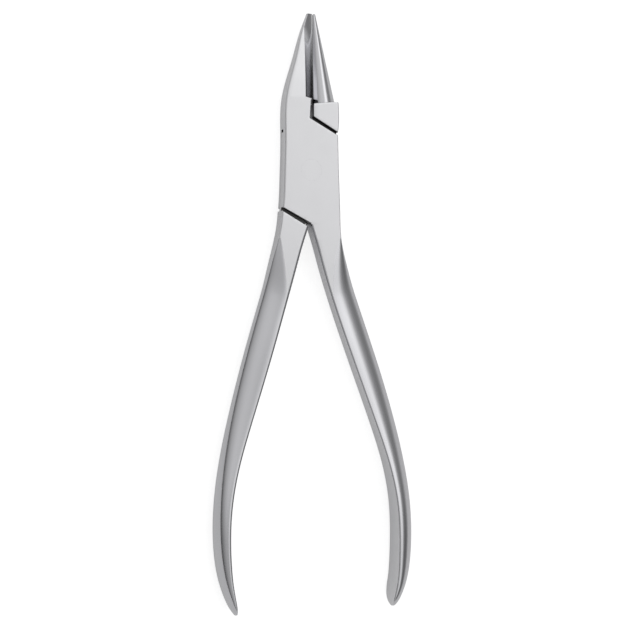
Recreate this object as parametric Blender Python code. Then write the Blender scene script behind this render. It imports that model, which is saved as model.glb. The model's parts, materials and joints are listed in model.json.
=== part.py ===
# Angle pliers with a box joint, closed, lying on their back.
# The beaks point to +Y, the handles to -Y and the thickness lies along Z.
# The pivot's axis is the Z axis, and the flat back of the box lies at Z = 0.
import math

import bpy
import bmesh
import numpy as np

MM = 0.001

# Box joint
BOX_THICKNESS = 6.0 * MM
BOX_EDGE_RADIUS = 0.7 * MM
SEAT_DISTANCE = 10.2 * MM          # pivot to the slanted ends of the box plates
UPPER_SEAT_SLOPE = math.radians(30.8)
LOWER_SEAT_SLOPE = math.radians(28.8)
GAP_AT_SIDE = 0.55 * MM            # seat gap where it meets the outside
GAP_AT_THROAT = 0.87 * MM          # seat gap next to the throat
UPPER_THROAT = -0.3 * MM           # sideways place of the seat's inner corner, beak side
LOWER_THROAT = -0.57 * MM          # the same, handle side
THROAT_GAP = 0.9 * MM              # across the throat, from the plates to the other half
THROAT_LENGTH = 1.67 * MM          # lower seat's corner down to the right handle's inner wall
THROAT_STEP = 0.6 * MM             # height over which the box turns into that handle

# Tongue in its slot
TONGUE_THICKNESS = 1.8 * MM
TONGUE_PLAY = 0.1 * MM             # to each box plate
TONGUE_RADIUS = 10.6 * MM          # round heels of the tongue about the pivot
HEEL_PLAY = 0.35 * MM
TONGUE_INSET = 0.05 * MM           # tongue's edge behind the sides of the box
TONGUE_ROOT = 1.2 * MM             # length forged into the shoulder and into the handle
ROOT_INSET = 0.5 * MM              # root behind the shoulder's side

# Rivet
PIN_DIAMETER = 3.5 * MM
PIN_HEAD_DIAMETER = 4.7 * MM
PIN_HEAD_DEPTH = 0.6 * MM
PIN_PLAY = 0.03 * MM

# Beaks
JAW_ROOT = 15.9 * MM               # pivot to the root of the beaks
JAW_REACH = 35.4 * MM              # pivot to the tips
ROOT_CHAMFER = 0.4 * MM            # height over which the pyramid beak grows out of the box
ROOT_EDGE = 0.1 * MM               # broken edge round the pyramid beak's root
RIDGE_OFFSET = 0.68 * MM           # inner ridge of the pyramid beak from the pivot's plane
RIDGE_FLAT = 0.3 * MM              # depth of the ridge's narrow flat
GROUND_FACE = 2.02 * MM            # width of each ground face, as far as the beak is wide enough
HOLLOW_SAG = 0.4 * MM              # hollow of the ground faces below their chord
CONE_GAP = 0.27 * MM               # ridge to cone
CONE_BASE_DIAMETER = 4.95 * MM
CONE_TIP_DIAMETER = 0.55 * MM
CONE_SUNK = 0.4 * MM               # cone's base forged into its shoulder
SHOULDER_DROP = 0.5 * MM           # top of the cone's shoulder below the root of the beaks
SHOULDER_CORNER = 0.3 * MM
SHOULDER_WALL_EDGE = 0.15 * MM     # edge radius of the wall at the throat

# Handles
HANDLE_START = 12.0 * MM           # pivot to where the sides of the box turn into the handles
LEFT_REACH = 99.6 * MM             # pivot to the end of the left handle
RIGHT_REACH = 97.9 * MM
HANDLE_EDGE_RADIUS = 0.35 * MM
CROWN_START = 12.5 * MM            # below the pivot, where the flat front starts to run out
CROWN_END = 28.0 * MM              # where the section is a full half round
HANDLE_END_ROUND = 5.5 * MM
END_FLAT = 0.07                    # share of the depth left at the very end of a handle

# Sides of the box, in millimetres: (distance along Y, place along X)
BOX_LEFT = ((8.0, -6.05), (0.0, -6.20), (-6.5, -6.43))
BOX_RIGHT = ((12.0, 6.02), (8.0, 6.12), (0.0, 6.30), (-6.5, 6.53))
# Outer side of the cone's shoulder: (distance below its top, place along X)
SHOULDER_SIDE = ((0.0, 6.22), (3.4, 6.37), (5.9, 6.08), (8.4, 5.70))
# Pyramid beak: (share of its length from the root, millimetres)
BEAK_LEFT = ((0.0, -5.87), (0.11, -5.47), (0.28, -4.61), (0.47, -3.56), (0.87, -1.41),
             (0.975, -0.68), (1.0, -0.52))
BEAK_DEPTH = ((0.0, 6.0), (0.03, 5.98), (0.24, 5.49), (0.47, 4.43), (0.65, 3.43), (0.82, 2.37),
              (0.93, 1.59), (1.0, 1.15))
# Handles: (share of their length below HANDLE_START, place along X in millimetres)
LEFT_OUTER = ((0.0, -6.90), (0.045, -7.65), (0.09, -8.80), (0.17, -10.78), (0.27, -13.32),
              (0.39, -16.20), (0.50, -18.56), (0.61, -20.51), (0.72, -21.68), (0.80, -21.83),
              (0.86, -21.41), (0.91, -20.57), (0.955, -19.24), (0.985, -17.97), (1.0, -17.05))
LEFT_INNER = ((0.0, -1.38), (0.045, -1.74), (0.09, -2.77), (0.17, -4.72), (0.27, -7.19),
              (0.39, -10.29), (0.50, -13.29), (0.61, -16.15), (0.72, -18.04), (0.80, -18.47),
              (0.86, -18.35), (0.91, -17.99), (0.955, -17.33), (0.985, -16.74), (1.0, -16.55))
RIGHT_OUTER = ((0.0, 6.68), (0.045, 7.00), (0.09, 7.99), (0.17, 10.22), (0.27, 13.13),
               (0.39, 16.57), (0.50, 19.37), (0.61, 21.68), (0.72, 23.22), (0.80, 23.63),
               (0.86, 23.47), (0.91, 22.87), (0.955, 21.74), (0.985, 20.47), (1.0, 19.50))
RIGHT_INNER = ((0.0, 0.05), (0.045, 1.14), (0.09, 2.11), (0.17, 4.09), (0.27, 6.95),
               (0.39, 10.63), (0.50, 14.05), (0.61, 17.25), (0.72, 19.37), (0.80, 19.90),
               (0.86, 19.88), (0.91, 19.72), (0.955, 19.24), (0.985, 18.84), (1.0, 19.00))
# Depth of the handles over the box's thickness: (the same share, millimetres)
HANDLE_GROWTH = ((0.0, 0.0), (0.11, -0.14), (0.20, -0.35), (0.30, -0.10), (0.40, 0.14),
                 (0.50, 0.52), (0.60, 1.26), (0.70, 2.32), (0.80, 3.17), (0.90, 3.45), (1.0, 3.41))

# Fineness of the solids
CIRCLE_STEPS = 48
EDGE_STEPS = 3
CROWN_STEPS = 9
BEAK_ROWS = 12
BOX_ROWS = 18
HANDLE_ROWS = 32
END_ROWS = 8
ARC_STEPS = 20

MIDDLE = BOX_THICKNESS / 2
HALF = BOX_THICKNESS / 2
BEAK_LENGTH = JAW_REACH - JAW_ROOT
SHOULDER_TOP = JAW_ROOT - SHOULDER_DROP
PAST_SIDES = 2 * BOX_THICKNESS     # cutters end this far from the pivot, past both sides
CLEAR = 0.05 * MM                  # cutters start this far off a face that they leave alone


def spline(points):
    """Natural cubic spline through (y, value) points in metres, as a function of y."""
    ys, values = np.array(sorted(points)).T
    spans = np.diff(ys)
    inner = np.arange(1, len(ys) - 1)
    matrix = np.eye(len(ys))
    matrix[inner, inner - 1] = spans[:-1]
    matrix[inner, inner] = 2 * (spans[:-1] + spans[1:])
    matrix[inner, inner + 1] = spans[1:]
    turn = np.zeros(len(ys))
    turn[inner] = 6 * np.diff(np.diff(values) / spans)
    bend = np.linalg.solve(matrix, turn)

    def read(y):
        y = min(max(y, ys[0]), ys[-1])
        k = min(max(int(np.searchsorted(ys, y)) - 1, 0), len(spans) - 1)
        a = (ys[k + 1] - y) / spans[k]
        b = 1 - a
        curved = (a ** 3 - a) * bend[k] + (b ** 3 - b) * bend[k + 1]
        return float(a * values[k] + b * values[k + 1] + curved * spans[k] ** 2 / 6)
    return read


def along_beak(points):
    return [(JAW_ROOT + share * BEAK_LENGTH, value * MM) for share, value in points]


def along_handle(points, reach):
    return [(-HANDLE_START - share * (reach - HANDLE_START), value * MM) for share, value in points]


def along_box(points):
    return [(y * MM, x * MM) for y, x in points]


left_side = spline(along_beak(BEAK_LEFT) + along_box(BOX_LEFT) + along_handle(LEFT_OUTER, LEFT_REACH))
right_side = spline(along_box(BOX_RIGHT) + along_handle(RIGHT_OUTER, RIGHT_REACH))
left_wall = spline(along_handle(LEFT_INNER, LEFT_REACH))
right_wall = spline(along_handle(RIGHT_INNER, RIGHT_REACH))
shoulder_side = spline([(SHOULDER_TOP - down * MM, x * MM) for down, x in SHOULDER_SIDE])
beak_depth = spline(along_beak(BEAK_DEPTH))
left_growth = spline(along_handle(HANDLE_GROWTH, LEFT_REACH))
right_growth = spline(along_handle(HANDLE_GROWTH, RIGHT_REACH))


def clear_scene():
    for item in list(bpy.data.objects):
        bpy.data.objects.remove(item, do_unlink=True)


def steel(name, colour, roughness):
    material = bpy.data.materials.new(name)
    material.use_nodes = True
    shader = material.node_tree.nodes["Principled BSDF"]
    shader.inputs["Base Color"].default_value = (*colour, 1.0)
    shader.inputs["Metallic"].default_value = 1.0
    shader.inputs["Roughness"].default_value = roughness
    material.diffuse_color = (*colour, 1.0)
    return material


def ease(start, end, value):
    """0 at start, 1 at end, with a smooth step between them."""
    t = min(max((value - start) / (end - start), 0.0), 1.0)
    return t * t * (3 - 2 * t)


def rows(start, end, count):
    return [float(y) for y in np.linspace(start, end, count)]


def arc(radius, first, last, steps):
    """Points on a circle about the pivot."""
    return [(radius * math.cos(a), radius * math.sin(a)) for a in np.linspace(first, last, steps + 1)]


def mesh_object(name, mesh_data, material):
    mesh = bpy.data.meshes.new(name)
    mesh_data.to_mesh(mesh)
    mesh_data.free()
    item = bpy.data.objects.new(name, mesh)
    bpy.context.scene.collection.objects.link(item)
    mesh.materials.append(material)
    return item


def slice_outline(inner, outer, depth, edge, crown):
    """One slice across the length, as (x, z) points.

    The inner side is a flat wall with rounded edges. The front and back are flat as far as the
    crown, which carries them to the outer side. crown maps 0..1 to (distance from the outer
    side, height above the middle).
    """
    side = 1.0 if outer > inner else -1.0
    half = depth / 2
    width = abs(outer - inner)
    front = []
    for k in range(EDGE_STEPS + 1):
        a = math.pi / 2 * k / EDGE_STEPS
        front.append((edge * (1 - math.cos(a)), half - edge * (1 - math.sin(a))))
    for k in range(CROWN_STEPS + 1):
        back_off, height = crown(k / CROWN_STEPS)
        front.append((width - back_off, height))
    outline = front + [(u, -w) for u, w in reversed(front)]
    return [(inner + side * u, w) for u, w in outline]


def round_crown(width, height, half):
    """Quarter ellipse from the flat front down to the outer side."""
    def point(t):
        a = t * math.pi / 2
        return width * (1 - math.sin(a)), half - height * (1 - math.cos(a))
    return point


def hollow_crown(width, half, ridge_half, sag):
    """Ground face from the flat front down to the ridge, hollow by sag below its chord."""
    def point(t):
        fall = half - ridge_half
        chord = math.hypot(width, fall)
        dip = 4 * t * (1 - t) * sag
        return width * (1 - t) + dip * fall / chord, half - fall * t - dip * width / chord
    return point


def loft(name, slices, material):
    """Skin through slices of (y, outline), closed by a flat face at each end."""
    data = bmesh.new()
    rings = []
    for y, outline in slices:
        rings.append([data.verts.new((x, y, MIDDLE + z)) for x, z in outline])
    count = len(rings[0])
    for first, second in zip(rings, rings[1:]):
        for k in range(count):
            n = (k + 1) % count
            data.faces.new((first[k], first[n], second[n], second[k]))
    data.faces.new(rings[0])
    data.faces.new(rings[-1])
    bmesh.ops.recalc_face_normals(data, faces=data.faces[:])
    return mesh_object(name, data, material)


def prism(name, outline, reach, material):
    """Plan outline of (x, y) points, raised to reach on both sides of the middle plane."""
    data = bmesh.new()
    bottom = data.faces.new([data.verts.new((x, y, MIDDLE - reach)) for x, y in outline])
    raised = bmesh.ops.extrude_face_region(data, geom=[bottom])
    bmesh.ops.translate(data, vec=(0, 0, 2 * reach),
                        verts=[v for v in raised["geom"] if isinstance(v, bmesh.types.BMVert)])
    bmesh.ops.recalc_face_normals(data, faces=data.faces[:])
    return mesh_object(name, data, material)


def turned(name, profile, base, tip, material):
    """Solid turned about the line from base to tip; profile is (share of the line, radius)."""
    base, tip = np.array(base), np.array(tip)
    line = (tip - base) / np.linalg.norm(tip - base)
    across = np.cross(line, (1, 0, 0) if abs(line[2]) > abs(line[0]) else (0, 0, 1))
    across = across / np.linalg.norm(across)
    upward = np.cross(across, line)
    data = bmesh.new()
    rings = []
    for share, radius in profile:
        centre = base + share * (tip - base)
        ring = []
        for k in range(CIRCLE_STEPS):
            a = 2 * math.pi * k / CIRCLE_STEPS
            ring.append(data.verts.new(centre + radius * (math.cos(a) * across
                                                          + math.sin(a) * upward)))
        rings.append(ring)
    for first, second in zip(rings, rings[1:]):
        for k in range(CIRCLE_STEPS):
            n = (k + 1) % CIRCLE_STEPS
            data.faces.new((first[k], first[n], second[n], second[k]))
    data.faces.new(rings[0])
    data.faces.new(rings[-1])
    bmesh.ops.recalc_face_normals(data, faces=data.faces[:])
    return mesh_object(name, data, material)


def combine(item, other, operation):
    """Apply an exact boolean of other to item, then drop other."""
    modifier = item.modifiers.new(operation.lower(), "BOOLEAN")
    modifier.operation = operation
    modifier.solver = "EXACT"
    modifier.object = other
    graph = bpy.context.evaluated_depsgraph_get()
    result = bpy.data.meshes.new_from_object(item.evaluated_get(graph))
    item.modifiers.clear()
    old = item.data
    item.data = result
    bpy.data.meshes.remove(old)
    bpy.data.objects.remove(other, do_unlink=True)


# Seats: end is 1 for the pair towards the beaks and -1 for the pair towards the handles


def box_seat(x, slope, end):
    """Height at x of a slanted end of the box plates, SEAT_DISTANCE from the pivot."""
    return end * (SEAT_DISTANCE - end * x * math.sin(slope)) / math.cos(slope)


def facing_seat(throat, side, slope, end):
    """Height, as a function of x, of the seat on the tongue half, across the tapering gap."""
    x = 0.0
    for _ in range(20):
        x = side(box_seat(x, slope, end))
    at_side = box_seat(x, slope, end) + end * GAP_AT_SIDE / math.cos(slope)
    at_throat = box_seat(throat, slope, end) + end * GAP_AT_THROAT / math.cos(slope)
    return lambda place: at_side + (at_throat - at_side) * (place - x) / (throat - x)


def upper_seat():
    return facing_seat(UPPER_THROAT + THROAT_GAP, right_side, UPPER_SEAT_SLOPE, 1)


def lower_seat():
    return facing_seat(LOWER_THROAT - THROAT_GAP, left_side, LOWER_SEAT_SLOPE, -1)


def crotch():
    """Height of the lower seat's inner corner on the box."""
    return box_seat(LOWER_THROAT, LOWER_SEAT_SLOPE, -1)


def end_round(y, reach):
    """Share of the full depth near a handle's end, as a quarter circle."""
    left = min(max(y + reach, 0.0) / HANDLE_END_ROUND, 1.0)
    return END_FLAT + (1 - END_FLAT) * math.sqrt(1 - (1 - left) ** 2)


def handle_slice(y, wall, side, growth, reach):
    """Slice of a handle: box section at the joint, half round towards the grip."""
    inner = wall(y)
    outer = side(y)
    width = abs(outer - inner)
    depth = (BOX_THICKNESS + growth(y)) * end_round(y, reach)
    edge = min(HANDLE_EDGE_RADIUS, depth / 5, width / 6)
    widest = 0.985 * (width - edge)
    highest = 0.97 * depth / 2
    start = min(BOX_EDGE_RADIUS, widest, highest)
    run_out = ease(-CROWN_START, -CROWN_END, y)
    crown_width = start + (widest - start) * run_out
    crown_height = start + (highest - start) * run_out
    return y, slice_outline(inner, outer, depth, edge,
                            round_crown(crown_width, crown_height, depth / 2))


def handle_slices(start, wall, side, growth, reach):
    """Slices of a handle, even along its length and closer together round its end."""
    places = rows(start, HANDLE_END_ROUND - reach, HANDLE_ROWS)
    turn = np.linspace(0, math.pi / 2, END_ROWS + 1)[1:]
    places += [float(y) for y in HANDLE_END_ROUND * (1 - np.sin(turn)) - reach]
    return [handle_slice(y, wall, side, growth, reach) for y in places]


def beak_slice(y):
    """Slice of the pyramid beak: flat front and back, ground hollow down to the inner ridge."""
    left = left_side(y)
    depth = min(beak_depth(y), BOX_THICKNESS)
    width = RIDGE_OFFSET - left
    edge = min(BOX_EDGE_RADIUS, 0.12 * depth)
    face = min(GROUND_FACE, width - 1.1 * edge)
    sag = HOLLOW_SAG * depth / BOX_THICKNESS
    ridge = min(RIDGE_FLAT, 0.3 * depth) / 2
    return y, slice_outline(left, RIDGE_OFFSET, depth, edge, hollow_crown(face, depth / 2, ridge, sag))


def box_slice(y, left, right, edge, crown_radius):
    crown = round_crown(crown_radius, crown_radius, HALF)
    return y, slice_outline(left, right, BOX_THICKNESS, edge, crown)


def box_half(material):
    """Pyramid beak, box and right handle in one loft, then the rooms for the other half."""
    tip_step = BEAK_LENGTH / 40
    beak_root = JAW_ROOT + ROOT_CHAMFER
    slices = [beak_slice(JAW_REACH), beak_slice(JAW_REACH - tip_step)]
    slices += [beak_slice(y) for y in rows(JAW_REACH - 3 * tip_step, beak_root + tip_step, BEAK_ROWS)]
    slices.append(box_slice(beak_root, left_side(beak_root), RIDGE_OFFSET, BOX_EDGE_RADIUS, ROOT_EDGE))
    handle_top = crotch() - THROAT_LENGTH
    for y in rows(JAW_ROOT - ROOT_CHAMFER, handle_top + THROAT_STEP, BOX_ROWS):
        slices.append(box_slice(y, left_side(y), right_side(y), BOX_EDGE_RADIUS, BOX_EDGE_RADIUS))
    slices += handle_slices(handle_top, right_wall, right_side, right_growth, RIGHT_REACH)
    half = loft("box_half", slices, material)
    combine(half, upper_room(material), "DIFFERENCE")
    combine(half, lower_room(handle_top, material), "DIFFERENCE")
    combine(half, slot(material), "DIFFERENCE")
    combine(half, rivet("pin_room", PIN_PLAY, material), "DIFFERENCE")
    return half


def upper_room(material):
    """Room for the shoulder: above the upper seat and beside the pyramid beak."""
    throat = (UPPER_THROAT, box_seat(UPPER_THROAT, UPPER_SEAT_SLOPE, 1))
    beyond = JAW_ROOT + 2 * MM
    beside = RIDGE_OFFSET + CLEAR
    outline = [throat, (PAST_SIDES, box_seat(PAST_SIDES, UPPER_SEAT_SLOPE, 1)), (PAST_SIDES, beyond),
               (beside, beyond), (beside, JAW_ROOT + ROOT_CHAMFER), (0.0, JAW_ROOT)]
    return prism("upper_room", outline, BOX_THICKNESS, material)


def lower_room(handle_top, material):
    """Room for the left handle: below the lower seat, down to the right handle's inner wall."""
    wall = right_wall(handle_top) - CLEAR
    below = handle_top - 2 * MM
    outline = [(LOWER_THROAT, crotch()), (wall, handle_top), (wall, below), (-PAST_SIDES, below),
               (-PAST_SIDES, box_seat(-PAST_SIDES, LOWER_SEAT_SLOPE, -1))]
    return prism("lower_room", outline, BOX_THICKNESS, material)


def slot(material):
    """Slot for the tongue: round about the pivot at both heels, open at both seats and sides."""
    room = TONGUE_RADIUS + HEEL_PLAY
    upper = box_seat(UPPER_THROAT, UPPER_SEAT_SLOPE, 1) + CLEAR
    lower = crotch() - CLEAR
    outline = [(UPPER_THROAT, upper)]
    outline += arc(room, math.acos(UPPER_THROAT / room), math.pi, ARC_STEPS)
    outline += [(-PAST_SIDES, 0), (-PAST_SIDES, lower), (LOWER_THROAT, lower)]
    outline += arc(room, -math.acos(LOWER_THROAT / room), 0.0, ARC_STEPS)
    outline += [(PAST_SIDES, 0), (PAST_SIDES, upper)]
    return prism("slot", outline, TONGUE_THICKNESS / 2 + TONGUE_PLAY, material)


def rivet(name, play, material):
    """Rivet with countersunk ends, ground flush with the box; play widens it for its hole."""
    shank = PIN_DIAMETER / 2 + play
    head = PIN_HEAD_DIAMETER / 2 + play
    over = PIN_HEAD_DEPTH if play else 0.0
    length = BOX_THICKNESS + 2 * over
    slope = PIN_HEAD_DEPTH + over
    wide = shank + (head - shank) * slope / PIN_HEAD_DEPTH
    profile = [(0.0, wide), (slope / length, shank), (1 - slope / length, shank), (1.0, wide)]
    return turned(name, profile, (0, 0, -over), (0, 0, BOX_THICKNESS + over), material)


def heel_corner(side, inset, end):
    """Where a side of the tongue, set in from the side of the box, meets its round heel."""
    x = 0.0
    for _ in range(20):
        x = side(end * math.sqrt(TONGUE_RADIUS ** 2 - x ** 2)) + inset
    return x, end * math.sqrt(TONGUE_RADIUS ** 2 - x ** 2)


def tongue(material):
    """Plate of the tongue: round heels about the pivot, sides just behind those of the box."""
    seat_above = upper_seat()
    seat_below = lower_seat()
    neck = UPPER_THROAT + THROAT_GAP + TONGUE_INSET
    stem = LOWER_THROAT - THROAT_GAP - TONGUE_INSET
    left_corner = heel_corner(left_side, TONGUE_INSET, 1)
    right_corner = heel_corner(right_side, -TONGUE_INSET, -1)
    left_foot = seat_below(left_side(left_corner[1])) - TONGUE_ROOT
    right_head = right_side(0.0) - TONGUE_INSET - ROOT_INSET
    right_top = seat_above(right_side(0.0)) - ROOT_INSET

    outline = [(left_side(y) + TONGUE_INSET, y) for y in rows(left_foot, left_corner[1], 9)]
    outline += arc(TONGUE_RADIUS, math.acos(left_corner[0] / TONGUE_RADIUS),
                   math.acos(neck / TONGUE_RADIUS), ARC_STEPS // 2)[1:]
    outline += [(neck, seat_above(neck) + TONGUE_ROOT),
                (right_head, seat_above(right_head) + TONGUE_ROOT)]
    outline += [(right_side(y) - TONGUE_INSET, y) for y in rows(right_top, right_corner[1], 8)]
    outline += arc(TONGUE_RADIUS, -math.acos(right_corner[0] / TONGUE_RADIUS),
                   -math.acos(stem / TONGUE_RADIUS), ARC_STEPS // 2)[1:]
    outline += [(stem, seat_below(stem) - TONGUE_ROOT)]
    return prism("tongue", outline, TONGUE_THICKNESS / 2, material)


def shoulder(material):
    """Full-thickness block that carries the cone; its lower side is the upper seat."""
    wall = UPPER_THROAT + THROAT_GAP
    seat = upper_seat()
    slices = []
    for a in rows(0.0, math.pi / 2, 5):
        y = SHOULDER_TOP - SHOULDER_CORNER * (1 - math.cos(a))
        right = shoulder_side(y) - SHOULDER_CORNER * (1 - math.sin(a))
        slices.append(box_slice(y, wall, right, SHOULDER_WALL_EDGE, BOX_EDGE_RADIUS))
    for y in rows(SHOULDER_TOP - 3 * SHOULDER_CORNER, seat(right_side(0.0)) - TONGUE_ROOT, 8):
        slices.append(box_slice(y, wall, shoulder_side(y), SHOULDER_WALL_EDGE, BOX_EDGE_RADIUS))
    block = loft("shoulder", slices, material)
    cut = [(-PAST_SIDES, seat(-PAST_SIDES)), (PAST_SIDES, seat(PAST_SIDES)),
           (PAST_SIDES, -PAST_SIDES), (-PAST_SIDES, -PAST_SIDES)]
    combine(block, prism("seat_cut", cut, BOX_THICKNESS, material), "DIFFERENCE")
    return block


def cone(material):
    """Round beak: a cone whose inner side runs along the ridge of the other beak."""
    base_radius = CONE_BASE_DIAMETER / 2
    tip_radius = CONE_TIP_DIAMETER / 2
    wall = RIDGE_OFFSET + CONE_GAP
    start = SHOULDER_TOP - CONE_SUNK
    round_share = tip_radius / (JAW_REACH - start)
    profile = [(0.0, base_radius),
               (1 - round_share, tip_radius + (base_radius - tip_radius) * round_share)]
    for a in rows(0.0, math.pi / 2, 6)[1:-1]:
        profile.append((1 - round_share * (1 - math.sin(a)), tip_radius * math.cos(a)))
    profile.append((1.0, profile[-1][1] / 3))
    return turned("cone", profile, (wall + base_radius, start, MIDDLE),
                  (wall + tip_radius, JAW_REACH, MIDDLE), material)


def tongue_half(material):
    """Left handle, tongue, shoulder and round beak, forged in one."""
    seat = lower_seat()
    start = seat(left_side(0.0)) + 2 * ROOT_INSET
    slices = handle_slices(start, left_wall, left_side, left_growth, LEFT_REACH)
    half = loft("tongue_half", slices, material)
    cut = [(-PAST_SIDES, seat(-PAST_SIDES)), (PAST_SIDES, seat(PAST_SIDES)),
           (PAST_SIDES, PAST_SIDES), (-PAST_SIDES, PAST_SIDES)]
    combine(half, prism("seat_cut", cut, BOX_THICKNESS, material), "DIFFERENCE")
    block = shoulder(material)
    combine(block, cone(material), "UNION")
    plate = tongue(material)
    combine(plate, block, "UNION")
    combine(half, plate, "UNION")
    combine(half, bore(material), "DIFFERENCE")
    return half


def bore(material):
    """Running hole of the tongue round the rivet's shank."""
    radius = PIN_DIAMETER / 2 + PIN_PLAY
    return turned("bore", [(0.0, radius), (1.0, radius)], (0, 0, MIDDLE - TONGUE_THICKNESS),
                  (0, 0, MIDDLE + TONGUE_THICKNESS), material)


def shade(item):
    item.data.shade_smooth()
    item.data.set_sharp_from_angle(angle=math.radians(32))


def main():
    clear_scene()
    satin = steel("satin_stainless_steel", (0.62, 0.62, 0.63), 0.32)
    polished = steel("polished_stainless_steel", (0.60, 0.60, 0.62), 0.20)
    ground = steel("ground_rivet_steel", (0.58, 0.58, 0.60), 0.30)
    for item in (box_half(satin), tongue_half(polished), rivet("pivot_pin", 0.0, ground)):
        shade(item)


main()
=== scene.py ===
import json
import math

import bpy
import numpy as np
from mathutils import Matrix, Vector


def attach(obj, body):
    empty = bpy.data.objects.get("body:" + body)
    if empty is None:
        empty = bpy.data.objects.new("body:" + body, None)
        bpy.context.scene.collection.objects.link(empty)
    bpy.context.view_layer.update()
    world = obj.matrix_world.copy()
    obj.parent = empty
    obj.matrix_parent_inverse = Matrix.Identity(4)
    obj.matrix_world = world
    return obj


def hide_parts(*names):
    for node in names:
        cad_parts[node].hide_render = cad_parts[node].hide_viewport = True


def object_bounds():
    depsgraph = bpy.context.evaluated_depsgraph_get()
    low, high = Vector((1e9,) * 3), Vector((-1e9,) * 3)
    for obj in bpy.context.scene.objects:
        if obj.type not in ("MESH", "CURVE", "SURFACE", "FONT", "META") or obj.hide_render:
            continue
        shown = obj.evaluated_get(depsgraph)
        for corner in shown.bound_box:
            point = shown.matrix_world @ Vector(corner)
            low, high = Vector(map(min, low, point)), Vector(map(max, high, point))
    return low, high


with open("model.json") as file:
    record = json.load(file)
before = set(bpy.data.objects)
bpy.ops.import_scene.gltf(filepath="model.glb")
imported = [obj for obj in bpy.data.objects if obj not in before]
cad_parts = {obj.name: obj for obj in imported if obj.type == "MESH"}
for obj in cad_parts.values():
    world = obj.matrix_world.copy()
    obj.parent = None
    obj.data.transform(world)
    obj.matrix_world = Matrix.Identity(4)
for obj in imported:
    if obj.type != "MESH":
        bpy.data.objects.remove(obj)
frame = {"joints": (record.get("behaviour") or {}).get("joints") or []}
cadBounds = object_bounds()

mm = 0.001
pivotHeight = frame["joints"][0]["pos_m"][2]    # middle plane of the box, half of its thickness
print("frame loaded, middle plane at", round(pivotHeight / mm, 2), "mm")


# Finishes: every piece carries all three, in this order, and each face has one of them
polished, satin, milled = 0, 1, 2


def linear(hexColour):
    # sRGB hex to linear, alpha 1
    c = np.array([int(hexColour[i:i + 2], 16) / 255 for i in (1, 3, 5)])
    return (*np.where(c <= 0.04045, c / 12.92, ((c + 0.055) / 1.055) ** 2.4), 1.0)


def addNode(tree, kind, settings=None, links=None):
    # settings go to sockets by name or number, or to the node itself; links are socket: output
    node = tree.nodes.new(kind)
    for key, value in (settings or {}).items():
        if isinstance(key, int) or key in node.inputs:
            node.inputs[key].default_value = value
        else:
            setattr(node, key, value)
    for key, source in (links or {}).items():
        tree.links.new(source, node.inputs[key])
    return node


def steelFinish(name, look):
    # grain and cloud are noises whose cells are as wide as the size given in millimetres; painted
    # shade: the base colour darkens where the surface is closed in, such as the seats and the root of
    # the round beak
    material = bpy.data.materials.new(name)
    material.use_nodes = True
    tree = material.node_tree
    tree.nodes.clear()
    place = addNode(tree, "ShaderNodeTexCoord").outputs["Object"]
    drawn = addNode(tree, "ShaderNodeMapping", {"Scale": look["drawn"]}, {"Vector": place})
    grain = addNode(tree, "ShaderNodeTexNoise", {"Scale": 1 / (look["grain"] * mm), "Detail": 4.0,
                                                 "Roughness": 0.6}, {"Vector": drawn.outputs[0]})
    cloud = addNode(tree, "ShaderNodeTexNoise", {"Scale": 1 / (look["cloud"] * mm), "Detail": 3.0},
                    {"Vector": drawn.outputs[0]})
    gloss = addNode(tree, "ShaderNodeMapRange", {"To Min": look["roughness"] - look["glossSwing"],
                                                 "To Max": look["roughness"] + look["glossSwing"]},
                    {"Value": cloud.outputs[0]})
    bump = addNode(tree, "ShaderNodeBump", {"Strength": look["tooth"], "Distance": 0.02 * mm},
                   {"Height": grain.outputs[0]})
    # painted shade: where ambient occlusion finds the surface closed in, the base colour is mixed
    # towards a dark colour
    opening = addNode(tree, "ShaderNodeAmbientOcclusion", {"samples": 8, "Distance": 1.1 * mm})
    unshaded = addNode(tree, "ShaderNodeMapRange", {"From Min": look["paintedShadeFrom"],
                                                 "From Max": look["paintedShadeTo"]},
                    {"Value": opening.outputs["AO"]})
    tone = addNode(tree, "ShaderNodeMix", {"data_type": "RGBA", 6: linear(look["paintedShade"]),
                                           7: linear(look["colour"])}, {0: unshaded.outputs[0]})
    shader = addNode(tree, "ShaderNodeBsdfPrincipled", {"Metallic": 1.0},
                     {"Base Color": tone.outputs[2], "Roughness": gloss.outputs[0],
                      "Normal": bump.outputs[0]})
    addNode(tree, "ShaderNodeOutputMaterial", None, {"Surface": shader.outputs[0]})
    return material


# polished: stainless steel buffed along the handles, clear reflections with faint long streaks
# satin: the same steel blasted with fine beads, an even soft grey sheen; its 0.05 mm dimples are
# drawn 0.11 mm wide so that they show
# milled: the faces inside the joint as the cutter left them, dull, and darker in colour as painted
# shade inside the gaps
finishes = [
    steelFinish("polished stainless steel", {
        "colour": "#CDCDD0", "paintedShade": "#39383A", "paintedShadeFrom": 0.22, "paintedShadeTo": 0.72,
        "roughness": 0.17, "glossSwing": 0.03, "drawn": (6, 0.5, 6), "grain": 0.6, "cloud": 5.0,
        "tooth": 0.03}),
    steelFinish("bead blasted stainless steel", {
        "colour": "#DDDDDF", "paintedShade": "#39383A", "paintedShadeFrom": 0.15, "paintedShadeTo": 0.62,
        "roughness": 0.37, "glossSwing": 0.03, "drawn": (1, 1, 1), "grain": 0.11, "cloud": 4.0,
        "tooth": 0.12}),
    # the dark colour of the milled finish is painted shade in the gaps of the joint; its roughness is
    # the cut surface's own
    steelFinish("milled stainless steel", {
        "colour": "#8C8B8B", "paintedShade": "#333231", "paintedShadeFrom": 0.2, "paintedShadeTo": 0.9,
        "roughness": 0.48, "glossSwing": 0.04, "drawn": (1, 1, 8), "grain": 0.25, "cloud": 2.0,
        "tooth": 0.25}),
]
print("finishes made")


# Surfaces: slices across the length, worked out as whole arrays
counts = {"edge": 7, "flat": 4, "crown": 26}    # points along each stretch of a slice's front
far = 12 * mm                                   # cutters end this far from the pivot
past = 2 * mm                                   # and go this far past what they clear


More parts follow.
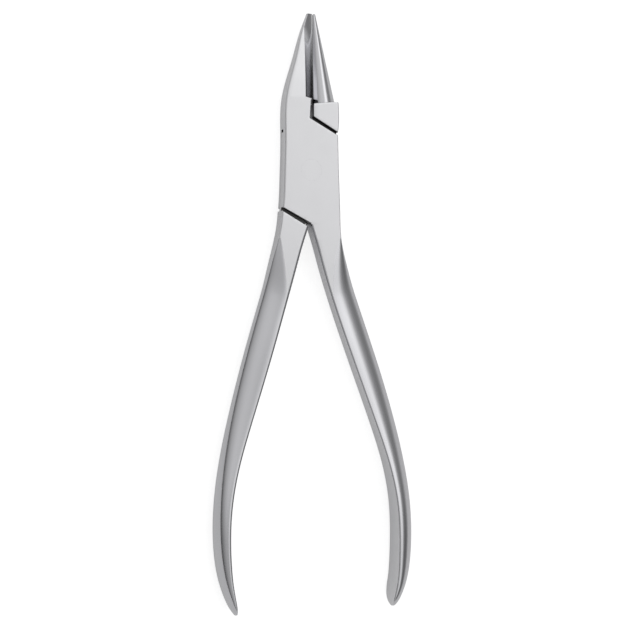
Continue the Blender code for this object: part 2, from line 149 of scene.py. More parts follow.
def smoothCurve(points, y):
    # natural cubic spline through (y, value) points in millimetres: the second derivatives
    # solve one linear system, and each span is the cubic between its two ends
    ys, vs = np.array(sorted(points)).T * mm
    h = np.diff(ys)
    k = np.arange(1, len(ys) - 1)
    system = np.eye(len(ys))
    system[k, k - 1] = h[:-1]
    system[k, k] = 2 * (h[:-1] + h[1:])
    system[k, k + 1] = h[1:]
    right = np.zeros(len(ys))
    right[k] = 6 * np.diff(np.diff(vs) / h)
    bend = np.linalg.solve(system, right)
    y = np.clip(y, ys[0], ys[-1])
    i = np.clip(np.searchsorted(ys, y) - 1, 0, len(h) - 1)
    a = (ys[i + 1] - y) / h[i]
    b = (y - ys[i]) / h[i]
    return (a * vs[i] + b * vs[i + 1]
            + ((a ** 3 - a) * bend[i] + (b ** 3 - b) * bend[i + 1]) * h[i] ** 2 / 6)


def curveAt(points, y):
    return float(smoothCurve(points, np.array([y]))[0])


def ease(start, end, y):
    # 0 at start, 1 at end, smooth step between
    t = np.clip((y - start) / (end - start), 0, 1)
    return t * t * (3 - 2 * t)


def roundFront(width, half, edge, crownWidth, crownHeight, edgeTilt=90):
    # front of a slice from the inner wall to the outer side: an arc as wide as edge that leaves
    # the wall edgeTilt degrees from flat, a flat, then a quarter ellipse crownWidth by
    # crownHeight; columns run along it
    steepest = math.radians(edgeTilt)
    a = np.linspace(steepest, 0, counts["edge"])[None, :]
    f = np.linspace(0, 1, counts["flat"] + 2)[None, 1:-1]
    c = np.linspace(0, math.pi / 2, counts["crown"])[None, :]
    width, half, edge = width[:, None], half[:, None], edge[:, None]
    crownWidth, crownHeight = crownWidth[:, None], crownHeight[:, None]
    u = np.hstack([edge * (1 - np.sin(a) / math.sin(steepest)),
                   edge + f * (width - crownWidth - edge),
                   width - crownWidth * (1 - np.sin(c))])
    w = np.hstack([half - edge * (1 - np.cos(a)) / math.sin(steepest), half + 0 * f,
                   half - crownHeight * (1 - np.cos(c))])
    return u, w


def hollowFront(width, half, edge, face, ridge, sag):
    # the same columns for the pyramid beak: the last stretch is the ground face, a chord from
    # the flat down to the ridge that dips by sag half way
    a = np.linspace(0, math.pi / 2, counts["edge"])[None, :]
    f = np.linspace(0, 1, counts["flat"] + 2)[None, 1:-1]
    t = np.linspace(0, 1, counts["crown"])[None, :]
    width, half, edge = width[:, None], half[:, None], edge[:, None]
    face, ridge, sag = face[:, None], ridge[:, None], sag[:, None]
    fall = half - ridge
    chord = np.hypot(face, fall)
    dip = sag * 4 * t * (1 - t)
    u = np.hstack([edge * (1 - np.cos(a)), edge + f * (width - face - edge),
                   width - face * (1 - t) - dip * fall / chord])
    w = np.hstack([half - edge * (1 - np.sin(a)), half + 0 * f,
                   half - fall * t - dip * face / chord])
    return u, w


def columnFinishes(rows):
    # rows holds one finish each for edge, flat, crown, outer side and inner wall; the columns of a
    # slice repeat them along the front, down the outer side, back along the back and up the wall
    front = [0] * (counts["edge"] - 1) + [1] * (counts["flat"] + 1) + [2] * (counts["crown"] - 1)
    return np.array(rows)[:-1][:, front + [3] + front[::-1] + [4]]


def closedLoft(name, y, inner, outer, u, w, finish, shear=0.0):
    # each row of u and w is one slice's front half, mirrored to the back about the middle plane;
    # shear moves its points along Y
    side = np.sign(outer - inner)[:, None]
    x = inner[:, None] + side * u
    y = y[:, None] + shear * np.ones_like(x)
    x, y = np.hstack([x, x[:, ::-1]]), np.hstack([y, y[:, ::-1]])
    z = np.hstack([pivotHeight + w, pivotHeight - w[:, ::-1]])
    rows, cols = x.shape
    points = np.stack([x, y, z], axis=-1).reshape(-1, 3)
    r = np.arange(rows - 1)[:, None] * cols
    c = np.arange(cols)[None, :]
    n = (c + 1) % cols
    quads = np.stack([r + c, r + n, r + cols + n, r + cols + c], axis=-1).reshape(-1, 4)
    faces = quads.tolist() + [list(range(cols))[::-1], list(range((rows - 1) * cols, rows * cols))]
    return meshObject(name, points, faces, finish.ravel().tolist() + [polished, polished])


def meshObject(name, points, faces, finish):
    mesh = bpy.data.meshes.new(name)
    mesh.from_pydata(points.tolist(), [], faces)
    for material in finishes:
        mesh.materials.append(material)
    mesh.polygons.foreach_set("material_index", np.array(finish, dtype=np.int32))
    mesh.update()
    piece = bpy.data.objects.new(name, mesh)
    bpy.context.scene.collection.objects.link(piece)
    faceOutwards(piece)
    return piece


def faceOutwards(piece):
    # the signed volume is the sum of each triangle's corner product; a negative one is inside out
    mesh = piece.data
    mesh.calc_loop_triangles()
    corners = np.empty(len(mesh.loop_triangles) * 3, dtype=np.int32)
    mesh.loop_triangles.foreach_get("vertices", corners)
    places = np.empty(len(mesh.vertices) * 3)
    mesh.vertices.foreach_get("co", places)
    tri = places.reshape(-1, 3)[corners].reshape(-1, 3, 3)
    if np.einsum("ij,ij->i", tri[:, 0], np.cross(tri[:, 1], tri[:, 2])).sum() < 0:
        mesh.flip_normals()


def offsetOutline(outline, out):
    # every side of a closed plan outline moves out by the same distance, and neighbours meet again
    p = np.array(outline)
    side = np.roll(p, -1, axis=0) - p
    side = side / np.linalg.norm(side, axis=1)[:, None]
    turn = np.sign(np.sum(p[:, 0] * np.roll(p[:, 1], -1) - p[:, 1] * np.roll(p[:, 0], -1)))
    normal = turn * np.stack([side[:, 1], -side[:, 0]], axis=1)
    before = np.roll(normal, 1, axis=0)
    mitre = normal + before
    mitre = mitre / np.sum(mitre * normal, axis=1)[:, None]
    return p + out * mitre


def cutterBlock(name, outline, half, flare=0.0, wall=milled, cap=milled, steps=6):
    # plan outline between -half and +half about the middle plane; with flare, the walls open out
    # as a quarter circle where they leave the surface, so that the cut has a broken edge
    a = np.linspace(0, math.pi / 2, steps)
    if flare:
        levels = np.concatenate([[0], half - flare * (1 - np.sin(a)), [half + past]])
        spread = np.concatenate([[0], flare * (1 - np.cos(a)), [flare]])
        levels = np.concatenate([-levels[:0:-1], levels])
        spread = np.concatenate([spread[:0:-1], spread])
    else:
        levels = np.array([-half, half])
        spread = np.zeros(2)
    rings = [np.column_stack([offsetOutline(outline, s), np.full(len(outline), pivotHeight + v)])
             for v, s in zip(levels, spread)]
    count, total = len(outline), len(levels)
    r = np.arange(total - 1)[:, None] * count
    c = np.arange(count)[None, :]
    n = (c + 1) % count
    walls = np.stack([r + c, r + n, r + count + n, r + count + c], axis=-1).reshape(-1, 4)
    faces = walls.tolist() + [list(range(count))[::-1],
                              list(range((total - 1) * count, total * count))]
    level = np.where((spread[1:] + spread[:-1]) > 0, polished, wall)
    finish = np.repeat(level, count).tolist() + [cap, cap]
    return meshObject(name, np.vstack(rings), faces, finish)


def turnedBody(name, along, radius, base, tip, steps, finish):
    # profile of (distance along, radius) turned about the line from base towards tip; across and
    # upward are square to the line and to each other
    base, tip = np.array(base), np.array(tip)
    line = (tip - base) / np.linalg.norm(tip - base)
    across = np.cross(line, (1, 0, 0) if abs(line[2]) > 0.5 else (0, 0, 1))
    across = across / np.linalg.norm(across)
    upward = np.cross(across, line)
    a = np.linspace(0, 2 * math.pi, steps, endpoint=False)[None, :, None]
    centre = base + np.array(along)[:, None] * line
    points = centre[:, None, :] + np.array(radius)[:, None, None] * (np.cos(a) * across
                                                                     + np.sin(a) * upward)
    rows = len(along)
    r = np.arange(rows - 1)[:, None] * steps
    c = np.arange(steps)[None, :]
    n = (c + 1) % steps
    walls = np.stack([r + c, r + n, r + steps + n, r + steps + c], axis=-1).reshape(-1, 4)
    faces = walls.tolist() + [list(range(steps))[::-1],
                              list(range((rows - 1) * steps, rows * steps))]
    return meshObject(name, points.reshape(-1, 3), faces, [finish] * len(faces))


def combine(piece, other, operation):
    cut = piece.modifiers.new("cut", "BOOLEAN")
    cut.operation = operation
    cut.solver = "EXACT"
    cut.object = other
    graph = bpy.context.evaluated_depsgraph_get()
    result = bpy.data.meshes.new_from_object(piece.evaluated_get(graph))
    piece.modifiers.clear()
    piece.data = result
    bpy.data.objects.remove(other, do_unlink=True)


def arc(radius, first, last, count):
    a = np.linspace(first, last, count)
    return [tuple(p) for p in np.column_stack([radius * np.cos(a), radius * np.sin(a)])]


# Box half: pyramid beak, box and right handle. Curves are (distance along Y, place along X) in
# millimetres in the frame of the solids, and the finished pieces stay inside the solids' box.
# tipSteps, rootRows and roomRows are millimetres below the tip or above the jaw's root
box = {
    "thickness": 2 * pivotHeight, "edgeLeft": 0.5 * mm, "edgeRight": 0.25 * mm,
    "brokenEdge": 0.13 * mm, "jawRoot": 15.9 * mm, "reach": 35.39 * mm,
    "tipSteps": (0.0, 0.06, 0.16, 0.3), "evenFrom": 0.5 * mm, "beakRows": 60, "bodyRows": 40,
    "rootRows": (0.5, 0.25, -0.55), "firstEdge": 0.1 * mm, "edgeShare": 0.12, "faceInset": 1.1,
    "ridge": 0.68 * mm, "ridgeHalf": 0.15 * mm, "ridgeShare": 0.15,
    "rib": {"half": 0.5 * mm, "left": -1.0 * mm, "foot": 15.0 * mm, "aboveRoot": 0.2 * mm},
    "groundFace": 2.02 * mm, "hollow": 0.2 * mm,
    "rootSlant": 0.15, "slantFrom": 3.0 * mm, "slantLength": 2.5 * mm,
    "wallAtRoot": -0.1 * mm, "roomRows": (2.0, 0.35, -0.15), "clearOfRidge": 0.05 * mm,
    "handleBelow": 0.25 * mm, "lastRow": 0.35 * mm, "wallSink": 0.03 * mm,
    "left": ((35.4, -0.52), (34.9, -0.68), (32.9, -1.40), (25.0, -3.58), (18.0, -5.48),
             (15.5, -5.90), (8.0, -6.05), (0.0, -6.20), (-6.5, -6.43), (-12.0, -6.90)),
    "right": ((12.0, 6.02), (8.0, 6.12), (0.0, 6.30), (-6.5, 6.53), (-12.0, 6.68)),
    "beakDepth": ((35.4, 1.15), (34.0, 1.60), (31.8, 2.40), (28.5, 3.45), (25.0, 4.45),
                  (20.5, 5.50), (16.3, 6.00)),
}
# Seats: the plates end on slanted lines at this distance from the pivot, and the tongue half
# faces them across a gap that widens from the side towards the throat
upperSeat = {"distance": 9.87 * mm, "slope": math.radians(30.4), "end": 1, "side": 6.0 * mm,
             "gapAtSide": 0.60 * mm, "gapAtThroat": 0.75 * mm, "throat": -0.37 * mm}
lowerSeat = {"distance": 10.47 * mm, "slope": math.radians(28.8), "end": -1, "side": -6.5 * mm,
             "gapAtSide": 0.74 * mm, "gapAtThroat": 0.97 * mm, "throat": -0.13 * mm}
throatGap = 0.9 * mm

# Handles: growth is what the thickness gains on the box along the handle, edgeTilt is how steep
# the rounding of the inner edge is where it leaves the wall, in degrees
handles = {
    "edge": 0.35 * mm, "edgeAtJoint": 0.47 * mm, "crownStart": -15.0 * mm, "crownEnd": -28.0 * mm,
    "fullCrown": 0.985, "crownFall": 0.97, "widthRise": 1.3, "heightRise": 0.9,
    "endRound": 5.5 * mm, "endFlat": 0.07, "rowStep": 0.45 * mm, "endRows": 26,
    "left": {
        "reach": 99.59 * mm, "firstCrown": 0.35 * mm, "edgeWidth": 1.5, "edgeTilt": 38,
        "outer": ((-8.0, -6.56), (-12.0, -6.90), (-16.0, -7.66), (-20.0, -8.80), (-27.0, -10.80),
                  (-36.0, -13.42), (-46.0, -16.16), (-56.0, -18.61), (-66.0, -20.60),
                  (-75.0, -21.66), (-82.0, -21.81), (-88.0, -21.31), (-92.0, -20.49),
                  (-96.0, -19.10), (-98.4, -17.90), (-99.6, -17.05)),
        "inner": ((-8.0, 0.90), (-12.5, -0.56), (-15.1, -1.42), (-18.2, -2.36), (-20.0, -2.85),
                  (-27.0, -4.75), (-36.0, -7.29), (-46.0, -10.24), (-56.0, -13.35),
                  (-66.0, -16.30), (-75.0, -18.03), (-82.0, -18.47), (-88.0, -18.31),
                  (-92.0, -17.95), (-96.0, -17.25), (-98.4, -16.72), (-99.6, -16.55))},
    "right": {
        "reach": 98.45 * mm, "firstCrown": 0.25 * mm, "edgeWidth": 1.0, "edgeTilt": 90,
        "outer": ((-12.0, 6.68), (-16.0, 7.02), (-20.0, 8.07), (-27.0, 10.35), (-36.0, 13.41),
                  (-46.0, 16.73), (-56.0, 19.65), (-66.0, 22.01), (-75.0, 23.33),
                  (-82.0, 23.62), (-88.0, 23.29), (-92.0, 22.60), (-95.0, 21.62),
                  (-97.2, 20.62), (-98.45, 19.80)),
        "inner": ((-12.0, -0.12), (-14.3, 0.56), (-16.0, 1.08), (-20.0, 2.18), (-27.0, 4.22),
                  (-36.0, 7.23), (-46.0, 10.81), (-56.0, 14.43), (-66.0, 17.71),
                  (-75.0, 19.52), (-82.0, 19.92), (-88.0, 19.82), (-92.0, 19.53),
                  (-95.5, 18.98), (-97.2, 18.88), (-98.45, 19.15))},
    "growth": ((-12.0, 0.0), (-22.0, -0.15), (-29.0, -0.35), (-38.0, -0.10), (-47.0, 0.15),
               (-56.0, 0.55), (-65.0, 1.35), (-74.0, 2.45), (-82.0, 3.20), (-90.0, 3.44),
               (-99.6, 3.40)),
}


def handleRows(start, end):
    # even along the handle, closer together round its end
    turn = end + handles["endRound"]
    straight = np.arange(start, turn, -handles["rowStep"])
    a = np.linspace(0, math.pi / 2, handles["endRows"])
    return np.concatenate([straight, end + handles["endRound"] * (1 - np.sin(a))])


def handleSlices(y, hand):
    # box section at the joint that turns into a half round with a flat inner wall: the crown
    # grows from the outer side in width and height until the flat is gone, and the thickness
    # closes round the end as a quarter circle
    inner = smoothCurve(hand["inner"], y)
    outer = smoothCurve(hand["outer"], y)
    width = np.abs(outer - inner)
    left = np.clip((y + hand["reach"]) / handles["endRound"], 0, 1)
    depth = box["thickness"] + smoothCurve(handles["growth"], y)
    depth = depth * (handles["endFlat"]
                     + (1 - handles["endFlat"]) * np.sqrt(1 - (1 - left) ** 2))
    nearJoint = ease(2 * handles["crownEnd"], handles["crownStart"], y)
    edge = handles["edge"] + (handles["edgeAtJoint"] - handles["edge"]) * nearJoint
    edge = np.minimum(edge * hand["edgeWidth"], np.minimum(depth / 5, width / 6))
    first = hand["firstCrown"]
    full = (width - edge) * handles["fullCrown"]
    t = np.clip((y - handles["crownStart"]) / (handles["crownEnd"] - handles["crownStart"]), 0, 1)
    start = np.minimum(first, full)
    crownWidth = start + (full - start) * (1 - (1 - t) ** handles["widthRise"])
    rise = (t * t * (3 - 2 * t)) ** handles["heightRise"]
    crownHeight = np.minimum(first + (depth / 2 - first) * rise, depth / 2) * handles["crownFall"]
    u, w = roundFront(width, depth / 2, edge, crownWidth, crownHeight, hand["edgeTilt"])
    finish = [[polished, satin if row > handles["crownEnd"] else polished,
               satin if row > handles["crownStart"] else polished, polished, satin] for row in y]
    return inner, outer, u, w, finish


def seatHeight(x, seat):
    # height at x of the slanted end of the box plates
    s = seat["slope"]
    return seat["end"] * (seat["distance"] - seat["end"] * x * math.sin(s)) / math.cos(s)


def facingSeat(seat, throat):
    # two points on the seat of the tongue half, far out on both sides of the pivot
    gap = np.array([seat["gapAtThroat"], seat["gapAtSide"]]) / math.cos(seat["slope"])
    x = np.array([throat, seat["side"]])
    level = seatHeight(x, seat) + seat["end"] * gap
    fall = (level[1] - level[0]) / (x[1] - x[0])
    return [(place, level[0] + fall * (place - throat)) for place in (-far, far)]


def stack(parts):
    # joins stretches of slices, given as (y, inner, outer, u, w, finish), into one run
    return [np.concatenate(column) for column in zip(*parts)]


def makeBoxHalf():
    full = box["thickness"]
    root = box["jawRoot"]
    beakEnd, bodyStart, fullWidth = root + np.array(box["rootRows"]) * mm
    beakY = np.concatenate([box["reach"] - np.array(box["tipSteps"]) * mm,
                            np.linspace(box["reach"] - box["evenFrom"], beakEnd, box["beakRows"])])
    left = smoothCurve(box["left"], beakY)
    depth = np.minimum(smoothCurve(box["beakDepth"], beakY), full)
    width = box["ridge"] - left
    edge = np.minimum(box["edgeLeft"], depth * box["edgeShare"])
    face = np.minimum(width - edge * box["faceInset"], box["groundFace"])
    ridge = np.minimum(box["ridgeHalf"], depth * box["ridgeShare"])
    u, w = hollowFront(width, depth / 2, edge, face, ridge, box["hollow"] * depth / full)
    beak = (beakY, left, np.full_like(left, box["ridge"]), u, w,
            [[satin, satin, polished, polished, satin]] * len(beakY))

    crotch = seatHeight(lowerSeat["throat"], lowerSeat)
    handleTop = crotch - box["handleBelow"]
    bodyY = np.concatenate([[bodyStart],
                            np.linspace(fullWidth, handleTop + box["lastRow"], box["bodyRows"])])
    left = smoothCurve(box["left"], bodyY)
    right = smoothCurve(box["right"], bodyY)
    right[0] = box["ridge"]
    crown = np.full_like(left, box["edgeRight"])
    crown[0] = box["firstEdge"]
    u, w = roundFront(right - left, np.full_like(left, full / 2), np.full_like(left, box["edgeLeft"]),
                      crown, crown)
    body = (bodyY, left, right, u, w, [[satin] * 5] * len(bodyY))

    hand = handles["right"]
    handleY = handleRows(handleTop, -hand["reach"])
    run = stack([beak, body, (handleY, *handleSlices(handleY, hand))])
    y, inner, outer, u, w, finish = run
    # the ground face runs out on a slant, lower at the ridge than at the flat
    fromFlat = inner[:, None] + u - (box["ridge"] - box["groundFace"])
    fromFlat = np.clip(fromFlat, 0, box["groundFace"])
    near = np.clip((root + box["slantFrom"] - y) / box["slantLength"], 0, 1) * (y > root)
    slant = -box["rootSlant"] * fromFlat * near[:, None]
    piece = closedLoft("box_half_finished", y, inner, outer, u, w, columnFinishes(finish), slant)

    throat = seatHeight(upperSeat["throat"], upperSeat)
    clear = box["ridge"] + box["clearOfRidge"]
    roomTop, stepTop, stepFoot = root + np.array(box["roomRows"]) * mm
    room = [(upperSeat["throat"], throat), (far, seatHeight(far, upperSeat)), (far, roomTop),
            (clear, roomTop), (clear, stepTop), (box["wallAtRoot"], stepFoot)]
    combine(piece, cutterBlock("room", room, full / 2, box["brokenEdge"]), "DIFFERENCE")
    # the ridge goes on a little below the ground face, which closes the view past the round beak
    foot, top = box["rib"]["foot"], root + box["rib"]["aboveRoot"]
    rib = [(box["rib"]["left"], foot), (box["ridge"], foot), (box["ridge"], top),
           (box["rib"]["left"], top)]
    combine(piece, cutterBlock("rib", rib, box["rib"]["half"]), "UNION")
    wall = curveAt(hand["inner"], handleTop) - box["wallSink"]
    room = [(lowerSeat["throat"], crotch), (wall, handleTop), (wall, handleTop - past),
            (-far, handleTop - past), (-far, seatHeight(-far, lowerSeat))]
    combine(piece, cutterBlock("room", room, full / 2, box["brokenEdge"]), "DIFFERENCE")

    heel, rows = tongue["radius"] + tongue["heelPlay"], tongue["heelRows"]
    slot = [(upperSeat["throat"], throat + past)]
    slot += arc(heel, math.acos(upperSeat["throat"] / heel), math.pi, rows)
    slot += [(-far, 0), (-far, crotch - past), (lowerSeat["throat"], crotch - past)]
    slot += arc(heel, 2 * math.pi - math.acos(lowerSeat["throat"] / heel), 2 * math.pi, rows)
    slot += [(far, 0), (far, throat + past)]
    combine(piece, cutterBlock("slot", slot, tongue["thickness"] / 2 + tongue["play"]), "DIFFERENCE")
    combine(piece, pinBody("hole", pin["fit"]), "DIFFERENCE")
    return piece


# Rivet: countersunk at both ends and ground flush with the box
pin = {"shank": 3.5 * mm, "head": 4.7 * mm, "headDepth": 0.6 * mm, "fit": 0.008 * mm,
       "over": 1 * mm, "steps": 96}


def pinBody(name, play):
    # play widens it for its hole, which also goes over its ends
    over = pin["over"] if play else 0
    length = box["thickness"] + 2 * over
    shank, head = pin["shank"] / 2 + play, pin["head"] / 2 + play
    slope = pin["headDepth"] + over
    wide = shank + (head - shank) * slope / pin["headDepth"]
    along = [0, slope, length - slope, length]
    return turnedBody(name, along, [wide, shank, shank, wide], (0, 0, -over),
                      (0, 0, box["thickness"]), pin["steps"], satin)


# Tongue half: round beak, its shoulder, the tongue and the left handle. The round beak runs a
# hair from the ridge of the other, and its shoulder's top is square to it
tongue = {
    "thickness": 1.94 * mm, "play": 0.02 * mm, "radius": 10.45 * mm, "heelPlay": 0.55 * mm,
    "inset": 0.012 * mm, "root": 1.3 * mm, "rootInset": 0.35 * mm, "neckInset": 0.05 * mm,
    "handleTop": -9.0 * mm, "heelRows": 40, "sideRows": 30,
}
shoulder = {
    "top": 15.4 * mm, "foot": 7.0 * mm, "corner": 0.3 * mm, "cornerShare": 0.4,
    "cornerRows": 8, "edge": 0.15 * mm, "slant": 0.085, "slantFrom": 12 * mm,
    "evenFrom": 0.8 * mm, "rows": 24,
    "side": ((15.4, 6.22), (12.0, 6.37), (9.5, 6.25), (8.5, 6.10), (7.0, 5.80)),
}
roundBeak = {
    "gapAtBase": 0.03 * mm, "gapAtTip": 0.12 * mm, "base": 5.19 * mm, "tip": 0.64 * mm,
    "sunk": 0.5 * mm, "rows": 9, "steps": 128, "capTurn": 0.96, "capSwell": 1.06,
    "capLeast": 0.003,
}


def makeTongueHalf():
    full = box["thickness"]
    hand = handles["left"]
    y = handleRows(tongue["handleTop"], -hand["reach"])
    inner, outer, u, w, finish = handleSlices(y, hand)
    piece = closedLoft("tongue_half_finished", y, inner, outer, u, w, columnFinishes(finish))
    stem = lowerSeat["throat"] - throatGap
    cut = facingSeat(lowerSeat, stem) + [(far, far), (-far, far)]
    combine(piece, cutterBlock("seat", cut, full / 2, box["brokenEdge"]), "DIFFERENCE")

    neck = upperSeat["throat"] + throatGap
    block = shoulderBlock(neck)
    cut = facingSeat(upperSeat, neck) + [(far, -far), (-far, -far)]
    combine(block, cutterBlock("seat", cut, full / 2, box["brokenEdge"]), "DIFFERENCE")
    combine(block, coneBody(), "UNION")

    bar = cutterBlock("bar", tongueOutline(neck, stem), tongue["thickness"] / 2, 0.0, satin)
    combine(bar, block, "UNION")
    combine(piece, bar, "UNION")
    shank = pin["shank"] / 2 + pin["fit"]
    hole = turnedBody("hole", [0, full / 2], [shank, shank], (0, 0, full / 4), (0, 0, full),
                      pin["steps"], milled)
    combine(piece, hole, "DIFFERENCE")
    return piece


def shoulderBlock(neck):
    # full thickness, its top corner rounded, the top sheared square to the round beak
    corner, top, rows = shoulder["corner"], shoulder["top"], shoulder["rows"]
    a = np.linspace(0, math.pi / 2, shoulder["cornerRows"])
    y = np.concatenate([top - corner * (1 - np.cos(a)),
                        np.linspace(top - shoulder["evenFrom"], shoulder["foot"], rows)])
    inset = np.concatenate([corner * (1 - np.sin(a)), np.zeros(rows)])
    outer = smoothCurve(shoulder["side"], y) - inset
    inner = neck + shoulder["cornerShare"] * inset
    same = np.ones_like(y)
    u, w = roundFront(outer - inner, box["thickness"] / 2 - shoulder["cornerShare"] * inset,
                      shoulder["edge"] * same, box["edgeRight"] * same, box["edgeRight"] * same)
    fromSide = inner[:, None] + u - outer[:, None]
    slant = shoulder["slant"] * fromSide * ease(shoulder["slantFrom"], top, y)[:, None]
    finish = columnFinishes([[satin] * 5] * len(y))
    return closedLoft("shoulder", y, inner, outer, u, w, finish, slant)


def coneBody():
    # round beak: its inner side runs along the ridge of the other beak, and its tip is capped by
    # an ellipse, whose widest part takes up the last of the taper
    baseR, tipR = roundBeak["base"] / 2, roundBeak["tip"] / 2
    base = (box["ridge"] + roundBeak["gapAtBase"] + baseR, shoulder["top"] - roundBeak["sunk"],
            pivotHeight)
    tip = (box["ridge"] + roundBeak["gapAtTip"] + tipR, box["reach"], pivotHeight)
    length = math.dist(base, tip)
    a = np.linspace(0, math.pi / 2 * roundBeak["capTurn"], roundBeak["rows"])
    along = np.concatenate([[0], np.linspace(0.1, 0.9, roundBeak["rows"]) * length,
                            length - tipR + tipR * np.sin(a)])
    straight = baseR + (tipR - baseR) * along / length
    cap = np.clip(1 - ((along - length + tipR) / tipR) ** 2, roundBeak["capLeast"], 1)
    radius = np.where(along > length - tipR, tipR * np.sqrt(cap) * roundBeak["capSwell"], straight)
    return turnedBody("cone", along, radius, base, tip, roundBeak["steps"], polished)


def heelCorner(points, inset, end):
    # where a side of the tongue meets its round heel, found by going back and forth
    x = 0.0
    for _ in range(20):
        x = curveAt(points, end * math.sqrt(tongue["radius"] ** 2 - x * x)) + inset
    return x, end * math.sqrt(tongue["radius"] ** 2 - x * x)


def seatAt(line, x):
    # height at x on a seat's line through two points
    return line[0][1] + (line[1][1] - line[0][1]) * (x - line[0][0]) / (line[1][0] - line[0][0])


def tongueOutline(neck, stem):
    # round heels about the pivot, sides just behind those of the box, roots inside the shoulder
    # and the handle
    r, inset, root = tongue["radius"], tongue["inset"], tongue["root"]
    above, below = facingSeat(upperSeat, neck), facingSeat(lowerSeat, stem)
    leftHeel = heelCorner(box["left"], inset, 1)
    rightHeel = heelCorner(box["right"], -inset, -1)
    leftY = np.linspace(seatAt(below, leftHeel[0]) - root, leftHeel[1], tongue["sideRows"])
    left = np.column_stack([smoothCurve(box["left"], leftY) + inset, leftY])
    head = curveAt(box["right"], 0.0) - tongue["rootInset"]
    rightY = np.linspace(seatAt(above, head) - tongue["rootInset"], rightHeel[1],
                         tongue["sideRows"])
    right = np.column_stack([smoothCurve(box["right"], rightY) - inset, rightY])
    neck, stem = neck + tongue["neckInset"], stem - tongue["neckInset"]
    plan = [tuple(p) for p in left]
    plan += arc(r, math.acos(leftHeel[0] / r), math.acos(neck / r), tongue["heelRows"])[1:]
    plan += [(neck, seatAt(above, neck) + root), (head, seatAt(above, head) + root)]
    plan += [tuple(p) for p in right]
    plan += arc(r, -math.acos(rightHeel[0] / r), -math.acos(stem / r), tongue["heelRows"])[1:]
    plan += [(stem, seatAt(below, stem) - root)]
    return plan


boxHalf = makeBoxHalf()
print("box half made,", len(boxHalf.data.polygons), "faces")
tongueHalf = makeTongueHalf()
print("tongue half made,", len(tongueHalf.data.polygons), "faces")
pivotPin = pinBody("pivot_pin_finished", 0.0)


sharpFrom = math.radians(28)


def shade(piece):
    # smooth, but sharp where faces meet at more than sharpFrom
    piece.data.shade_smooth()
    piece.data.set_sharp_from_angle(angle=sharpFrom)
    weight = piece.modifiers.new("even normals", "WEIGHTED_NORMAL")
    weight.keep_sharp = True
    weight.weight = 100


for piece, node, body, slotName in ((boxHalf, "box_half", "box_side", "satin_steel"),
                                    (tongueHalf, "tongue_half", "tongue_side", "polished_steel"),
                                    (pivotPin, "pivot_pin", "box_side", "rivet_steel")):
    shade(piece)
    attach(piece, body)
    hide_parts(node)
print("pieces ride on their bodies")


# Camera: to the left of the object's normal, so that the left sides show
view = {"tilt": math.radians(12.0), "distance": 0.45, "pixelsAcross": 625,
        "pixelsPerMetre": 4437.0, "sensor": 36.0, "nearest": 0.01,
        "centre": (0.85 * mm, -31.9 * mm, pivotHeight)}
lens = bpy.data.cameras.new("camera")
lens.sensor_width = view["sensor"]
lens.lens = view["sensor"] * view["distance"] / (view["pixelsAcross"] / view["pixelsPerMetre"])
lens.clip_start = view["nearest"]
camera = bpy.data.objects.new("camera", lens)
bpy.context.scene.collection.objects.link(camera)
camera.location = (view["centre"][0] - view["distance"] * math.sin(view["tilt"]),
                   view["centre"][1],
                   view["centre"][2] + view["distance"] * math.cos(view["tilt"]))
camera.rotation_euler = (0, -view["tilt"], 0)
bpy.context.scene.camera = camera


# Studio: a light tent over white paper. The tent's brightness is set by the angle across the tool,
# in degrees from straight up: dim at both sides, a soft box just right of the middle
studio = {
    "floorHeight": cadBounds[0][2] - 0.02 * mm, "floorSize": 3.0, "paper": "#D4D4D4",
    "paperToCamera": 0.71, "paperInSteel": 0.22,
    "gainAhead": 0.84, "towardsBeaks": 2.0, "leastGain": 0.70, "mostGain": 1.15,
    "tent": ((-180, 0.10), (-96, 0.10), (-84, 0.12), (-72, 0.34), (-60, 0.47), (-50, 0.54),
             (-30, 0.67), (-10, 0.71), (0, 0.71), (6, 0.82), (14, 1.28), (30, 1.28), (38, 0.60),
             (46, 0.32), (58, 0.23), (70, 0.24), (80, 0.42), (90, 0.58), (100, 0.66), (180, 0.10)),
}


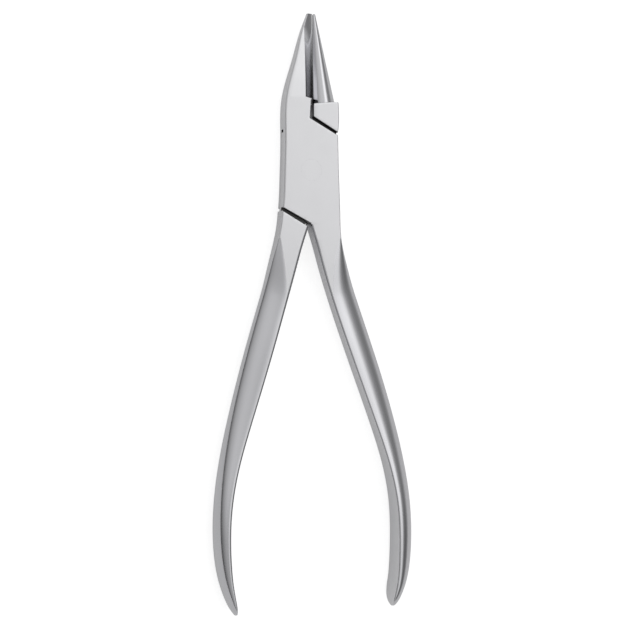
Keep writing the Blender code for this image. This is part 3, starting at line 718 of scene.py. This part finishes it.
def buildTent():
    world = bpy.data.worlds.new("light tent")
    bpy.context.scene.world = world
    world.use_nodes = True
    tree = world.node_tree
    tree.nodes.clear()
    direction = addNode(tree, "ShaderNodeTexCoord").outputs["Generated"]
    split = addNode(tree, "ShaderNodeSeparateXYZ", None, {"Vector": direction})
    angle = addNode(tree, "ShaderNodeMath", {"operation": "ARCTAN2"},
                    {0: split.outputs["X"], 1: split.outputs["Z"]})
    turn = addNode(tree, "ShaderNodeMapRange", {"From Min": -math.pi, "From Max": math.pi},
                   {"Value": angle.outputs[0]})
    brightest = max(level for _, level in studio["tent"])
    ramp = addNode(tree, "ShaderNodeValToRGB", None, {"Fac": turn.outputs[0]})
    stops = ramp.color_ramp.elements
    for number, (degrees, level) in enumerate(studio["tent"]):
        place = (degrees + 180) / 360
        stop = stops[0] if number == 0 else stops.new(place)
        stop.position = place
        stop.color = (*[level / brightest] * 3, 1)
    stops.remove(stops[-1])
    along = addNode(tree, "ShaderNodeMath", {"operation": "MULTIPLY_ADD",
                                             1: studio["towardsBeaks"],
                                             2: studio["gainAhead"]},
                    {0: split.outputs["Y"]})
    gain = addNode(tree, "ShaderNodeClamp", {"Min": studio["leastGain"],
                                             "Max": studio["mostGain"]}, {0: along.outputs[0]})
    strength = addNode(tree, "ShaderNodeMath", {"operation": "MULTIPLY", 1: brightest},
                       {0: gain.outputs[0]})
    back = addNode(tree, "ShaderNodeBackground", None,
                   {"Color": ramp.outputs[0], "Strength": strength.outputs[0]})
    addNode(tree, "ShaderNodeOutputWorld", None, {"Surface": back.outputs[0]})


def buildFloor():
    size = studio["floorSize"]
    corners = [(x, y, studio["floorHeight"]) for x, y in ((-size, -size), (size, -size),
                                                          (size, size), (-size, size))]
    mesh = bpy.data.meshes.new("floor")
    mesh.from_pydata(corners, [], [(0, 1, 2, 3)])
    floor = bpy.data.objects.new("floor", mesh)
    bpy.context.scene.collection.objects.link(floor)
    paper = bpy.data.materials.new("white paper")
    paper.use_nodes = True
    tree = paper.node_tree
    tree.nodes.clear()
    matt = addNode(tree, "ShaderNodeBsdfDiffuse", {"Color": linear(studio["paper"])})
    path = addNode(tree, "ShaderNodeLightPath")
    mirrored = addNode(tree, "ShaderNodeMath", {"operation": "MAXIMUM"},
                       {0: path.outputs["Is Glossy Ray"], 1: path.outputs["Is Transmission Ray"]})
    inSteel = addNode(tree, "ShaderNodeMath", {"operation": "MULTIPLY", 1: studio["paperInSteel"]},
                      {0: mirrored.outputs[0]})
    lift = addNode(tree, "ShaderNodeMath", {"operation": "MULTIPLY_ADD",
                                            1: studio["paperToCamera"]},
                   {0: path.outputs["Is Camera Ray"], 2: inSteel.outputs[0]})
    glow = addNode(tree, "ShaderNodeEmission", None, {"Strength": lift.outputs[0]})
    both = addNode(tree, "ShaderNodeAddShader", None, {0: matt.outputs[0], 1: glow.outputs[0]})
    addNode(tree, "ShaderNodeOutputMaterial", None, {"Surface": both.outputs[0]})
    mesh.materials.append(paper)


buildTent()
buildFloor()
print("studio built")

bpy.context.scene.view_settings.view_transform = "Standard"
